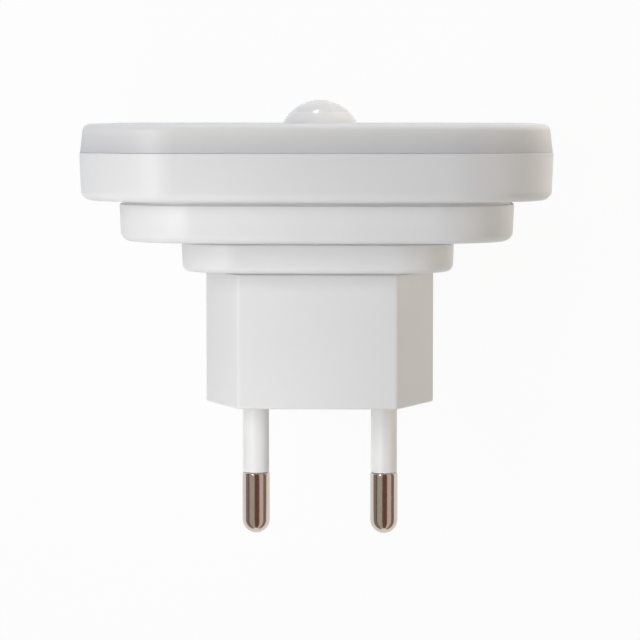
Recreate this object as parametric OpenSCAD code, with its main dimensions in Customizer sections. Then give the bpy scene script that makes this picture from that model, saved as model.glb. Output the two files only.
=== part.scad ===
// Plug-in night light with a motion sensor: a milky square diffuser with a lens dome at its centre,
// a stepped white housing, and a two-pin plug at the back. Lengths are in millimetres.
// The plug's pins point along +Y into the wall, and the diffuser faces the room along -Y.

/* [Housing tiers] */
// Width of the widest tier where it meets the diffuser
tier1_w = 65; // [62:0.5:80]
// Corner radius of the widest tier
tier1_corner = 14; // [12:0.5:18]
// Height of the widest tier
tier1_h = 6.5; // [5:0.1:9]
// Width of the middle tier
tier2_w = 54.5; // [50:0.5:57]
// Corner radius of the middle tier
tier2_corner = 11; // [9:0.5:14]
// Height of the middle tier
tier2_h = 5.7; // [5:0.1:8]
// Width of the narrow tier
tier3_w = 38.2; // [37:0.2:44]
// Corner radius of the narrow tier
tier3_corner = 8; // [6:0.5:10]
// Height of the narrow tier
tier3_h = 4.5; // [4:0.1:7]
// Lean of the tiers' sides, in degrees
tier_draft = 2.2; // [1:0.1:4]
// Rounding of the wide and middle tiers' wall-side edges
tier_round = 1.4; // [0.8:0.1:1.5]
// Rounding of the narrow tier's wall-side edge
tier3_round = 1; // [0.5:0.1:1.5]
// Thickness of the housings' walls
wall = 1.6; // [1.2:0.1:2]

/* [Diffuser] */
// Height of the diffuser that shows above the housing
diffuser_h = 3.95; // [3.4:0.05:6]
// Step on each side from the housing in to the diffuser
seam_step = 0.1; // [0.05:0.05:0.4]
// Lean of the diffuser's sides, in degrees
diffuser_draft = 7; // [3:0.5:10]
// Rounding of the diffuser's front edge
diffuser_round = 1.1; // [0.6:0.1:1.6]
// Thickness of the diffuser's front
diffuser_t = 1.8; // [1.4:0.1:2.2]
// Height of the lip that reaches into the housing
lip_h = 2.5; // [2:0.1:3]
// Thickness of the lip
lip_t = 0.9; // [0.7:0.1:1.2]
// Length of each snap ridge on the lip
snap_len = 12; // [6:1:20]
// How far a snap ridge stands out of the lip
snap_reach = 0.35; // [0.2:0.05:0.5]

/* [Sensor lens] */
// Radius of the lens dome
lens_r = 6; // [5.6:0.1:7.5]
// Thickness of the lens
lens_t = 0.6; // [0.4:0.1:0.8]
// Height of the dome's top above the diffuser's face
lens_rise = 3.35; // [3:0.05:4]
// Height of the lens's straight skirt
lens_skirt = 1; // [0.8:0.1:1.5]
// How far the lens's flange stands out of its skirt
flange_reach = 1.2; // [0.8:0.1:1.6]
// Thickness of the lens's flange
flange_t = 0.8; // [0.6:0.1:1]
// Width of the trough around the dome
trough_w = 1.1; // [0.8:0.1:1.6]
// Depth of the trough below the diffuser's face
trough_depth = 2; // [1.6:0.1:2.4]
// Rounding where the trough meets the face
trough_round = 0.9; // [0.5:0.1:1.2]

/* [Plug body] */
// Width of the plug body
plug_w = 32.7; // [31:0.1:35]
// Thickness of the plug body
plug_t = 26; // [25:0.5:30]
// Width of each of its two broad flats
plug_flat = 22.5; // [20:0.5:25]
// Width of each of its two narrow side faces
plug_side = 4; // [3:0.5:6]
// Height of the plug body from its wall face to the narrow tier
plug_h = 19.4; // [18:0.2:26]
// Rounding of its upright edges
plug_round = 0.6; // [0.3:0.1:1.2]
// Thickness of its wall face
plug_base = 2.4; // [2:0.1:3]

/* [Pins] */
// Distance between the pins' axes
pin_spacing = 18.6; // [18:0.1:19.2]
// Diameter of the bare metal
pin_d = 4; // [3.8:0.1:4.8]
// Length of the pins out of the plug body
pin_l = 19.5; // [19:0.1:24]
// Diameter of the insulating sleeve
sleeve_d = 3.8; // [3.4:0.1:4]
// Length of the sleeve out of the plug body
sleeve_l = 10.5; // [9:0.1:12]
// Diameter of the pin inside its sleeve
core_d = 2.9; // [2.6:0.1:3]
// Rounding of the shoulder where the bare metal starts
shoulder = 0.35; // [0.2:0.05:0.4]

/* [Boards and parts] */
// Thickness of both boards
board_t = 1.2; // [1:0.1:1.6]
// Size of the power board along X and Z
power_size = [33, 20]; // [16:0.5:34]
// Size of the film capacitor along X and Z
dropper_size = [13, 5.4]; // [4:0.1:14]
// Radius of the smoothing capacitor
smoothing_r = 2.8; // [2.5:0.1:2.9]
// Distance from the centre to the lamps
led_ring = 19; // [15:0.5:21]
// Number of lamps
led_count = 6; // [4:1:8]
// Radius of the motion sensor's can
can_r = 4.1; // [3.8:0.1:4.2]

/* [Hidden] */
// Gap between parts that slide or press into each other
fit = 0.1;
// How far a cut runs past the surface that it opens
past = 1;
// Free space around the parts inside
part_gap = 1.1;
// Thickness of the rings and towers moulded round other parts
ring_t = 1;

// Levels, from the plug's wall face into the room
z_tier3 = plug_h;
z_tier2 = z_tier3 + tier3_h;
z_tier1 = z_tier2 + tier2_h;
z_seam = z_tier1 + tier1_h;
z_face = z_seam + diffuser_h;
z_equator = z_face + lens_rise - lens_r;
z_flange = z_equator - lens_skirt - flange_t;
z_led_board = z_tier1 + wall;
z_led_front = z_led_board + board_t;
z_power_board = z_tier3 + wall;
z_power_front = z_power_board + board_t;

// Inner widths and corner radii of the hollows
hollow1_w = tier1_w - 2 * wall;
hollow1_corner = tier1_corner - wall;
hollow2_w = tier2_w - 2 * wall;
hollow2_corner = tier2_corner - wall;
hollow3_w = tier3_w - 2 * wall;
hollow3_corner = tier3_corner - wall;
lip_w = hollow1_w - 2 * fit;
lip_corner = hollow1_corner - fit;
z_snap = z_seam - 0.6 * lip_h;
led_board_w = hollow1_w - part_gap;
led_board_corner = hollow1_corner - part_gap / 2;

// Lens fit
hole_r = lens_r + fit;
flange_r = lens_r + flange_reach;
boss_r = hole_r + trough_w + ring_t;
holder_r = flange_r;

// Plug body
plug_angle = atan((plug_t - plug_side) / (plug_w - plug_flat));
sleeve_bore = core_d + fit;
pin_spots = [for (s = [-1, 1]) [s * pin_spacing / 2, 0]];
collar_r = 2.9;
collar_t = 1;
z_collar = plug_base + collar_t;
tower_r = collar_r + ring_t;
z_tower = z_collar + 0.8;
stub_r = 1.1;
stub_h = 1.8;
z_stub = z_tower + stub_h;

// Screws and the pillars that they turn into
screw_r = 0.95;
screw_head_r = 1.9;
screw_head_h = 1.3;
slot_size = [2.2, 0.5, 0.6];
pillar_r = 2.4;
pilot_r = screw_r + fit / 2;
board_screw_l = 5;
plug_screw_l = 4.4;
board_screw_at = (hollow2_w - hollow2_corner) / 2 - ring_t;
// The plug's screws stand in the narrow tier's corners, with their heads clear of the board's pillars
plug_screw_at = min((hollow3_w - hollow3_corner) / 2 + ring_t / 5,
                    board_screw_at - (screw_head_r + pillar_r + fit) / sqrt(2));

// Parts on the boards
lead_r = 0.3;
lead_hole_r = 0.45;
solder_r = 0.8;
solder_h = 0.7;
leg_w = 0.45;
leg_t = 0.25;
under_gap = 4.5;
dropper_h = z_power_board - z_stub - under_gap;
lead_inset = 1.5;
dropper_leads = [for (s = [-1, 1]) [s * (dropper_size.x / 2 - lead_inset), 0]];
smoothing_y = plug_t / 2 - wall - smoothing_r - part_gap;
smoothing_h = dropper_h - part_gap;
smoothing_leads = [for (s = [-1, 1]) [s * 1, smoothing_y]];
wire_r = 0.7;
wire_bend = 2;
wire_rise = 2;
link_pitch = 2.54;
link_y = -holder_r - 1.3;
link_pin_r = 0.32;
link_spots = [for (i = [-1.5 : 1 : 1.5]) [i * link_pitch, link_y]];
link_block = [4 * link_pitch, 2.2, 2.5];
// The power board reaches past the link pins, which stand just outside the lens holder
power_h = max(power_size.y, 2 * (lead_inset - link_y));
wire_y = power_h / 2 - wire_r - ring_t;
opening_size = [power_size.x - 5, link_block.y + 0.8 - 2 * link_y];
fuse_r = 1.5;
fuse_len = 8;
fuse_drop = 3.6;
fuse_y = link_y + link_block.y / 2 + solder_r + 0.3;
fuse_leads = [for (s = [-1, 1]) [s * (fuse_len / 2 + lead_inset), fuse_y]];
can_gap = 0.6;
can_flange_r = can_r + 0.5;
holder_bore = can_flange_r + 0.3;
can_flange_t = 0.5;
z_can = z_led_front + can_gap;
z_can_top = z_equator - 0.2;
can_leads = [for (a = [45, 135, 270]) 2.54 * [cos(a), sin(a)]];
window_size = [4, 3];
window_t = 0.3;
cell_r = 2.5;
cell_at = [0, holder_r + cell_r + 2.5];
cell_t = 2;
cell_gap = 1;
cell_leads = [for (s = [-1, 1]) cell_at + [s * 1.7, 0]];
timing_r = 2;
timing_h = tier2_h - part_gap;
timing_spots = [for (s = [-1, 1]) [s * 6.5, -16.5]];
timing_leads = [for (p = timing_spots, s = [-1, 1]) p + [0, s * 0.8]];
led_size = [3.5, 2.8, 0.8];
chip_size = [2, 1.25, 0.6];
resistor_spots = [for (x = [-16, -13], y = [-6 : 2.5 : 6.5]) [x, y]];
ceramic_spots = [for (y = [-5 : 3 : 7]) [14.5, y]];

$fn = 64;

// ---- Shared shapes ----

// Turns the working axes so that their Z, from the wall into the room, lies along -Y
module into_room() {
    rotate([90, 0, 0]) children();
}

// Section through a slab's side: it leans in by lean degrees and is rounded at its top
module leaning_edge(r, h, lean, edge) {
    centre = [r - (edge + (h - edge) * sin(lean)) / cos(lean), h - edge];
    reach = edge * [cos(lean), sin(lean)];
    polygon([[0, 0], [r, 0], centre + reach, centre, [centre.x, h], [0, h]]);
    translate(centre) intersection() {
        circle(edge);
        polygon([[0, 0], 2 * reach, [2 * edge, 2 * edge], [0, 2 * edge]]);
    }
}

// Square slab with round corners, width w at z = 0, that leans in to a rounded edge at z = h
module leaning_slab(w, corner, h, lean, edge) {
    inner = w / 2 - corner;
    for (a = [0 : 90 : 270])
        rotate(a) {
            translate([inner, inner, 0])
                rotate_extrude(angle = 90) leaning_edge(corner, h, lean, edge);
            translate([inner, 0, 0]) rotate([90, 0, 0])
                linear_extrude(2 * inner, center = true) leaning_edge(corner, h, lean, edge);
        }
    translate([-inner, -inner, 0]) cube([2 * inner, 2 * inner, h]);
}

// The same slab turned over: widest at z = top and rounded at its wall side
module hanging_slab(top, w, corner, h, lean, edge) {
    translate([0, 0, top]) mirror([0, 0, 1]) leaning_slab(w, corner, h, lean, edge);
}

module round_rect(size, corner) {
    square([size.x, size.y - 2 * corner], center = true);
    square([size.x - 2 * corner, size.y], center = true);
    for (x = [-1, 1], y = [-1, 1])
        translate([x * (size.x / 2 - corner), y * (size.y / 2 - corner)]) circle(corner);
}

// Prism over a rounded rectangle, from z = low to z = high
module round_prism(size, corner, low, high) {
    translate([0, 0, low]) linear_extrude(high - low) round_rect(size, corner);
}

// Cylinder that stands at a spot, from z = low to z = high
module post(spot, r, low, high) {
    translate([spot.x, spot.y, low]) cylinder(r = r, h = high - low);
}

// Box centred on a spot, from z = low to z = high
module block(spot, size, low, high) {
    translate([spot.x - size.x / 2, spot.y - size.y / 2, low]) cube([size.x, size.y, high - low]);
}

// Stands a part on a board's face at z = face: way is 1 on the room side and -1 on the wall side
module on_face(spot, face, way) {
    translate([spot.x, spot.y, face]) mirror([0, 0, way < 0 ? 1 : 0]) children();
}

// Wire lead from z = low to z = high, with a cone of solder on a board's face
module lead(spot, low, high, face, way) {
    post(spot, lead_r, low, high);
    on_face(spot, face, way) cylinder(r1 = solder_r, r2 = lead_r, h = solder_h);
}

// Flat package on a board's face, with flat legs along two of its sides
module flat_package(spot, size, face, way, legs, pitch, leg_reach = 1) {
    on_face(spot, face, way) {
        translate([-size.x / 2, -size.y / 2, leg_t / 2]) cube([size.x, size.y, size.z - leg_t / 2]);
        for (i = [0 : legs - 1])
            block([(i - (legs - 1) / 2) * pitch, 0], [leg_w, size.y + 2 * leg_reach], 0, leg_t);
    }
}

function corners(at) = [for (x = [-1, 1], y = [-1, 1]) [x * at, y * at]];

// Pan-head screw at a spot, its head on z = seat and its shank running down
module screw(spot, seat, length) {
    translate([spot.x, spot.y, seat]) difference() {
        union() {
            cylinder(r = screw_head_r, h = screw_head_h);
            translate([0, 0, -length]) cylinder(r = screw_r, h = length + past / 2);
        }
        for (a = [0, 90])
            rotate(a) block([0, 0], slot_size, screw_head_h - slot_size.z, screw_head_h + past);
    }
}

// ---- Diffuser and lens ----

// Section of the opening around the lens: a hole, a trough and its rounded outer rim
module dish_section() {
    rim = hole_r + trough_w;
    translate([0, z_flange]) square([hole_r, z_face - z_flange + past]);
    translate([0, z_face - trough_depth]) square([rim, trough_depth + past]);
    translate([rim, z_face - trough_round]) difference() {
        square([trough_round, trough_round + past]);
        translate([trough_round, 0]) circle(trough_round);
    }
}

// Ridge of triangular section on each side of a square of half-width at
module snap_bars(at, reach, length) {
    for (a = [0 : 90 : 270])
        rotate(a) translate([at, 0, z_snap]) rotate([90, 0, 0])
            linear_extrude(length, center = true)
                polygon([[-fit, -reach - fit], [reach, 0], [-fit, reach + fit]]);
}

module diffuser_cover() {
    seam_w = tier1_w - 2 * seam_step;
    inside = lip_w - 2 * lip_t;
    color("#CBCED6") into_room() difference() {
        union() {
            difference() {
                union() {
                    translate([0, 0, z_seam])
                        leaning_slab(seam_w, tier1_corner - seam_step, diffuser_h, diffuser_draft,
                                     diffuser_round);
                    round_prism([lip_w, lip_w], lip_corner, z_seam - lip_h, z_seam);
                    snap_bars(lip_w / 2, snap_reach, snap_len);
                }
                round_prism([inside, inside], lip_corner - lip_t, z_seam - lip_h - past,
                            z_face - diffuser_t);
            }
            post([0, 0], boss_r, z_flange + flange_t, z_face - diffuser_t / 2);
        }
        rotate_extrude() dish_section();
    }
}

module fresnel_lens() {
    color("#E0DFDC") into_room() rotate_extrude() difference() {
        union() {
            translate([0, z_equator]) intersection() {
                circle(lens_r);
                square(lens_r);
            }
            translate([0, z_flange]) square([lens_r, z_equator - z_flange]);
            translate([0, z_flange]) square([flange_r, flange_t]);
        }
        translate([0, z_equator]) intersection() {
            circle(lens_r - lens_t);
            square(lens_r);
        }
        translate([0, z_flange - past]) square([lens_r - lens_t, z_equator - z_flange + past]);
    }
}

module lens_holder() {
    color("#F0F0EE") into_room() difference() {
        post([0, 0], holder_r, z_led_front, z_flange);
        post([0, 0], holder_bore, z_led_front - past, z_flange + past);
    }
}

// ---- Housings ----

module rear_housing() {
    color("#E2E2E3") into_room() {
        difference() {
            union() {
                hanging_slab(z_seam, tier1_w, tier1_corner, tier1_h, tier_draft, tier_round);
                hanging_slab(z_tier1, tier2_w, tier2_corner, tier2_h, tier_draft, tier_round);
            }
            round_prism([hollow1_w, hollow1_w], hollow1_corner, z_led_board, z_seam + past);
            round_prism([hollow2_w, hollow2_w], hollow2_corner, z_tier2 + wall, z_seam);
            round_prism(opening_size, 3, z_tier2 - past, z_seam);
            snap_bars(hollow1_w / 2, snap_reach, snap_len + 2 * fit);
            for (spot = corners(plug_screw_at))
                post(spot, screw_r + fit, z_tier2 - past, z_seam);
        }
        for (spot = corners(board_screw_at))
            difference() {
                post(spot, pillar_r, z_tier2 + wall, z_led_board);
                post(spot, pilot_r, z_led_front - board_screw_l - fit, z_led_board + past);
            }
    }
}

// Corners of the plug body's outline, set in by a distance
function plug_outline(inset) = let (
    x1 = plug_flat / 2 - inset * tan(plug_angle / 2),
    y1 = plug_t / 2 - inset,
    x2 = plug_w / 2 - inset,
    y2 = plug_side / 2 - inset * tan((90 - plug_angle) / 2)
) [[x2, -y2], [x2, y2], [x1, y1], [-x1, y1], [-x2, y2], [-x2, -y2], [-x1, -y1], [x1, -y1]];

// The point at a distance from a towards b
function towards(a, b, distance) = a + distance * (b - a) / norm(b - a);

// Plug body's outline with its corners rounded
module plug_section() {
    outline = plug_outline(0);
    count = len(outline);
    polygon([
        for (i = [0 : count - 1])
            let (
                here = outline[i],
                before = outline[(i + count - 1) % count],
                after = outline[(i + 1) % count],
                turn = i % 4 < 2 ? 90 - plug_angle : plug_angle,
                back = plug_round * tan(turn / 2)
            )
            each [towards(here, before, back), towards(here, after, back)]
    ]);
    for (spot = plug_outline(plug_round))
        translate(spot) circle(plug_round);
}

module plug_housing() {
    color("#E4E4E4") into_room() difference() {
        union() {
            difference() {
                union() {
                    linear_extrude(z_tier3 + wall) plug_section();
                    hanging_slab(z_tier2, tier3_w, tier3_corner, tier3_h, tier_draft, tier3_round);
                }
                round_prism([hollow3_w, hollow3_w], hollow3_corner, z_power_board, z_tier2 + past);
                translate([0, 0, plug_base]) linear_extrude(z_tier2) polygon(plug_outline(wall));
            }
            for (spot = corners(plug_screw_at))
                post(spot, pillar_r, z_tier3 + wall / 2, z_tier2);
            for (spot = pin_spots)
                post(spot, tower_r, plug_base / 2, z_tower);
        }
        for (spot = pin_spots) {
            post(spot, (sleeve_d + fit) / 2, -past, plug_base + past / 2);
            post(spot, collar_r + fit / 2, plug_base, z_collar);
            post(spot, stub_r + fit / 2, z_collar - past / 2, z_tower + past);
        }
        for (spot = corners(plug_screw_at))
            post(spot, pilot_r, z_tier2 + wall - plug_screw_l - fit, z_tier2 + past);
    }
}

// ---- Pins, sleeves and wires ----

// Right half of a pin's section, with its tip below and its solder stub above
module pin_section() {
    r = pin_d / 2;
    z_bare = -sleeve_l - shoulder;
    z_tip = r - pin_l;
    translate([0, z_tip]) intersection() {
        circle(r);
        translate([0, -r]) square(r);
    }
    translate([0, z_tip]) square([r, z_bare - z_tip]);
    translate([0, z_bare]) square([r - shoulder, shoulder]);
    translate([r - shoulder, z_bare]) intersection() {
        circle(shoulder);
        square(shoulder);
    }
    translate([0, -sleeve_l]) square([core_d / 2, sleeve_l + z_collar]);
    translate([0, plug_base]) square([collar_r, collar_t]);
    translate([0, z_collar]) square([stub_r, z_stub - z_collar]);
}

module plug_pin(side) {
    color("#C9C3BC") into_room() translate([side * pin_spacing / 2, 0, 0])
        rotate_extrude() pin_section();
}

module pin_sleeve(side) {
    color("#E6E6E6") into_room() translate([side * pin_spacing / 2, 0, -sleeve_l])
        rotate_extrude() translate([sleeve_bore / 2, 0])
            square([(sleeve_d - sleeve_bore) / 2, sleeve_l + plug_base]);
}

// Quarter bend of wire from straight up, at the origin, to along +Y
module wire_bend() {
    translate([0, wire_bend, 0]) rotate([90, 0, -90])
        rotate_extrude(angle = 90) translate([wire_bend, 0]) circle(wire_r);
}

module plug_wire(side, shade) {
    z_run = z_stub + wire_rise + wire_bend;
    color(shade) into_room() translate([side * pin_spacing / 2, 0, 0]) {
        post([0, 0], wire_r, z_stub, z_stub + wire_rise);
        translate([0, 0, z_stub + wire_rise]) wire_bend();
        translate([0, wire_bend, z_run]) rotate([-90, 0, 0])
            cylinder(r = wire_r, h = wire_y - 2 * wire_bend);
        translate([0, wire_y, z_run + wire_bend]) rotate([180, 0, 0]) wire_bend();
        post([0, wire_y], wire_r, z_run + wire_bend, z_power_board);
    }
}

// ---- Power board and its parts ----

module power_board() {
    spots = concat(dropper_leads, smoothing_leads, fuse_leads, link_spots);
    color("#2E6B45") into_room() difference() {
        round_prism([power_size.x, power_h], 1, z_power_board, z_power_front);
        for (spot = spots)
            post(spot, lead_hole_r, z_power_board - past, z_power_front + past);
    }
}

module dropper_capacitor() {
    color("#C9A227") into_room() {
        round_prism(dropper_size, 0.6, z_power_board - dropper_h, z_power_board);
        for (spot = dropper_leads)
            lead(spot, z_power_board - lead_r, z_power_front + solder_h, z_power_front, 1);
    }
}

module smoothing_capacitor() {
    color("#20232A") into_room() {
        post([0, smoothing_y], smoothing_r, z_power_board - smoothing_h, z_power_board);
        for (spot = smoothing_leads)
            lead(spot, z_power_board - lead_r, z_power_front + solder_h, z_power_front, 1);
    }
}

module fusible_resistor() {
    color("#5E7F8C") into_room() {
        translate([-fuse_len / 2, fuse_y, z_power_board - fuse_drop]) rotate([0, 90, 0])
            cylinder(r = fuse_r, h = fuse_len);
        translate([fuse_leads[0].x, fuse_y, z_power_board - fuse_drop]) rotate([0, 90, 0])
            cylinder(r = lead_r, h = fuse_leads[1].x - fuse_leads[0].x);
        for (spot = fuse_leads) {
            translate([spot.x, spot.y, z_power_board - fuse_drop]) sphere(lead_r);
            lead(spot, z_power_board - fuse_drop, z_power_front + solder_h, z_power_front, 1);
        }
    }
}

module rectifier_bridge() {
    color("#26272B") into_room()
        flat_package([-8.5, 3], [4.7, 4, 2.5], z_power_front, 1, 2, 2.54);
}

module zener_diode() {
    color("#3A3B40") into_room()
        flat_package([8.8, 3.4], [2.6, 4.3, 2.2], z_power_front, 1, 1, 0);
}

module bleeder_resistors() {
    color("#2A2B2E") into_room()
        for (x = [9, 12])
            block([x, -3.5], chip_size, z_power_front, z_power_front + chip_size.z);
}

// Four pins in a plastic strip that join the two boards
module link_pins() {
    color("#D8B45A") into_room() {
        for (spot = link_spots)
            post(spot, link_pin_r, z_power_board - 0.8, z_led_front + 0.8);
        block([0, link_y], link_block, z_power_front, z_power_front + link_block.z);
    }
}

// ---- Lamp board and its parts ----

module led_board() {
    spots = concat(can_leads, cell_leads, timing_leads, link_spots);
    color("#F1F2F0") into_room() difference() {
        round_prism([led_board_w, led_board_w], led_board_corner, z_led_board, z_led_front);
        for (spot = spots)
            post(spot, lead_hole_r, z_led_board - past, z_led_front + past);
        for (spot = corners(board_screw_at))
            post(spot, screw_r + fit, z_led_board - past, z_led_front + past);
    }
}

module leds() {
    color("#F2E27A") into_room()
        for (i = [0 : led_count - 1])
            rotate((i + 0.5) * 360 / led_count)
                block([led_ring, 0], led_size, z_led_front, z_led_front + led_size.z);
}

module motion_sensor() {
    color("#B9BCC0") into_room() difference() {
        union() {
            post([0, 0], can_flange_r, z_can, z_can + can_flange_t);
            post([0, 0], can_r, z_can, z_can_top);
            for (spot = can_leads)
                lead(spot, z_led_board - solder_h, z_can + can_flange_t / 2, z_led_board, -1);
        }
        block([0, 0], window_size, z_can_top - window_t, z_can_top + past);
    }
}

module sensor_window() {
    color("#4A3B36") into_room()
        block([0, 0], window_size - [fit, fit], z_can_top - window_t, z_can_top);
}

module light_sensor() {
    low = z_led_front + cell_gap;
    color("#D9C7A6") into_room() {
        post(cell_at, cell_r, low, low + cell_t);
        for (spot = cell_leads)
            lead(spot, z_led_board - solder_h, low + cell_t / 2, z_led_board, -1);
    }
}

module control_chip() {
    color("#2B2C30") into_room()
        flat_package([0, 18.5], [9.9, 3.9, 1.5], z_led_board, -1, 8, 1.27);
}

module driver_transistor() {
    color("#303136") into_room()
        flat_package([10, -10], [2.9, 1.4, 1], z_led_board, -1, 2, 1.9, 0.5);
}

module chip_resistors() {
    color("#26282C") into_room()
        for (spot = resistor_spots)
            block(spot, chip_size, z_led_board - chip_size.z, z_led_board);
}

module chip_capacitors() {
    color("#B79A72") into_room()
        for (spot = ceramic_spots)
            block(spot, chip_size, z_led_board - chip_size.z, z_led_board);
}

module timing_capacitors() {
    color("#23262E") into_room() {
        for (spot = timing_spots)
            post(spot, timing_r, z_led_board - timing_h, z_led_board);
        for (spot = timing_leads)
            lead(spot, z_led_board - lead_r, z_led_front + solder_h, z_led_front, 1);
    }
}

// ---- Fasteners ----

module board_screws() {
    color("#C4C6C9") into_room()
        for (spot = corners(board_screw_at))
            screw(spot, z_led_front, board_screw_l);
}

module plug_screws() {
    color("#C4C6C9") into_room()
        for (spot = corners(plug_screw_at))
            screw(spot, z_tier2 + wall, plug_screw_l);
}

diffuser_cover();
fresnel_lens();
lens_holder();
rear_housing();
plug_housing();
plug_pin(1);  // live_pin
plug_pin(-1);  // neutral_pin
pin_sleeve(1);  // live_pin_sleeve
pin_sleeve(-1);  // neutral_pin_sleeve
plug_wire(1, "#7A4A2B");  // live_wire
plug_wire(-1, "#2F5FA8");  // neutral_wire
power_board();
dropper_capacitor();
smoothing_capacitor();
fusible_resistor();
rectifier_bridge();
zener_diode();
bleeder_resistors();
link_pins();
led_board();
leds();
motion_sensor();
sensor_window();
light_sensor();
control_chip();
driver_transistor();
chip_resistors();
chip_capacitors();
timing_capacitors();
board_screws();
plug_screws();
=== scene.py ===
import math

import bmesh
import bpy
from mathutils import Matrix, Vector


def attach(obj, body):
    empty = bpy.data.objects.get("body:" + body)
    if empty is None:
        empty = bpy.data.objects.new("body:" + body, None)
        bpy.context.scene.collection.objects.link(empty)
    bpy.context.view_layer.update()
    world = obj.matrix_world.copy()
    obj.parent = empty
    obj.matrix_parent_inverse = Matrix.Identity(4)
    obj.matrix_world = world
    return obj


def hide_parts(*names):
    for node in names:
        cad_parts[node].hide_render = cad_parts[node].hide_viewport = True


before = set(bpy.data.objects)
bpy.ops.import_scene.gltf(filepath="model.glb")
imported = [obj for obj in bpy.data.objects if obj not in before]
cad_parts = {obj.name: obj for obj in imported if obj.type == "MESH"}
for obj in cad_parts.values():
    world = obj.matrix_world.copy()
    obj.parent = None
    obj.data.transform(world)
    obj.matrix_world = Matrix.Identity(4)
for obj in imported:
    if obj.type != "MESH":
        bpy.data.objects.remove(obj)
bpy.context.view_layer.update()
mm = 0.001  # every size below is in millimetres, and this turns it to metres
print("frame:", len(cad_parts), "parts")

# The camera looks across the pins at the side of the light, level with the diffuser's face,
# with the diffuser at the top of the picture.
studioView = {
    "place": (-11, -41, 380),  # a little towards the neutral pin's side
    "aim": (0, -11.6, 0),
    "lens": 148,
    "clipStart": 10,
}


def aimFrame(place, aim, up):
    forward = (aim - place).normalized()
    right = forward.cross(up).normalized()
    frameAxes = Matrix((right, right.cross(forward), -forward)).transposed().to_4x4()
    return Matrix.Translation(place) @ frameAxes


cameraData = bpy.data.cameras.new("studioCamera")
cameraData.lens = studioView["lens"]
cameraData.clip_start = studioView["clipStart"] * mm
camera = bpy.data.objects.new("studioCamera", cameraData)
bpy.context.scene.collection.objects.link(camera)
camera.matrix_world = aimFrame(Vector(studioView["place"]) * mm, Vector(studioView["aim"]) * mm,
                               Vector((0, -1, 0)))
bpy.context.scene.camera = camera
bpy.context.scene.view_settings.view_transform = "Standard"
print("camera: ready")

# Levels run from the plug's wall face into the room, as on a drawing of the side.
level = {
    "tier3": 19.4,
    "tier2": 23.9,
    "tier1": 29.6,
    "seam": 36.1,
    "face": 40.05,
    "lens": 37.4,  # where the dome's half ball starts
}
touch = 0.002  # how near two levels count as the same
ringTouch = 0.01  # how near to a ring, outline or ball a point counts as on it
mergeWithin = 0.0005  # points nearer than this become one


def pickNone():
    bpy.ops.object.select_all(action="DESELECT")


def startEdit(piece):
    pickNone()
    piece.select_set(True)
    bpy.context.view_layer.objects.active = piece
    bpy.ops.object.mode_set(mode="EDIT")
    bpy.ops.mesh.select_mode(type="EDGE")


def pick(kind, wanted):
    # picks, of all points, edges or faces, those that a test wants
    bpy.ops.mesh.select_mode(type=kind)
    bpy.ops.mesh.select_all(action="DESELECT")
    mesh = bpy.context.object.data
    shape = bmesh.from_edit_mesh(mesh)
    for part in {"VERT": shape.verts, "EDGE": shape.edges, "FACE": shape.faces}[kind]:
        part.select_set(wanted(part))
    bmesh.update_edit_mesh(mesh)


def liesAt(part, height):
    return all(abs(v.co.z / mm - height) < touch for v in part.verts)


def pickOpen(height, centre=(0, 0), radius=None):
    # picks the edges at a height that still lack a face: all of them, or those of one round ring
    def onRing(v):
        return radius is None or abs(math.dist(v.co.xy / mm, centre) - radius) < ringTouch
    pick("EDGE", lambda edge: len(edge.link_faces) < 2 and liesAt(edge, height)
         and all(map(onRing, edge.verts)))


def pickOutline(width, corner, height):
    # picks the edges that lie on a rounded square at a height
    straight = width / 2 - corner

    def onOutline(v):
        return abs(math.hypot(*(max(abs(c) / mm - straight, 0) for c in v.co.xy)) - corner) < ringTouch
    pick("EDGE", lambda edge: liesAt(edge, height) and all(map(onOutline, edge.verts)))


def pickFlat(height):
    # picks the one face that lies flat at a height
    pick("FACE", lambda face: liesAt(face, height))


def addOutline(width, depth, corner, height, steps):
    # rounded rectangle as one face, left picked
    bpy.ops.mesh.select_all(action="DESELECT")
    bpy.ops.mesh.primitive_plane_add(size=mm, location=(0, 0, height * mm))
    bpy.ops.transform.resize(value=(width, depth, 1), center_override=(0, 0, height * mm))
    bpy.ops.mesh.select_mode(type="VERT")
    bpy.ops.mesh.bevel(offset=corner * mm, segments=steps, affect="VERTICES", clamp_overlap=False)
    bpy.ops.mesh.select_mode(type="FACE")


def openFace(rim=None):
    # takes out the picked face and leaves its edges, or with a rim leaves a flat ring that wide round it
    if rim:
        bpy.ops.mesh.inset(thickness=rim * mm, depth=0)
    bpy.ops.mesh.delete(type="ONLY_FACE")


def joinAt(height):
    # closes the flat ring between the open outlines at a height
    pickOpen(height)
    bpy.ops.mesh.fill()


def runTo(height, newHeight):
    # draws the open edges at one height out to another
    pickOpen(height)
    bpy.ops.mesh.extrude_edges_move(TRANSFORM_OT_translate={"value": (0, 0, (newHeight - height) * mm)})


def addRing(radius, height, centre, around):
    bpy.ops.mesh.select_all(action="DESELECT")
    bpy.ops.mesh.primitive_circle_add(vertices=around, radius=radius * mm,
                                      location=(centre[0] * mm, centre[1] * mm, height * mm))


def runRings(path, centre=(0, 0)):
    # draws an open ring on from each (radius, height) to the next
    for start, end in zip(path, path[1:]):
        pickOpen(start[1], centre, start[0])
        bpy.ops.mesh.extrude_edges_move(TRANSFORM_OT_translate={"value": (0, 0, (end[1] - start[1]) * mm)})
        scale = end[0] / start[0]
        bpy.ops.transform.resize(value=(scale, scale, 1),
                                 center_override=(centre[0] * mm, centre[1] * mm, end[1] * mm))


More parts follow.
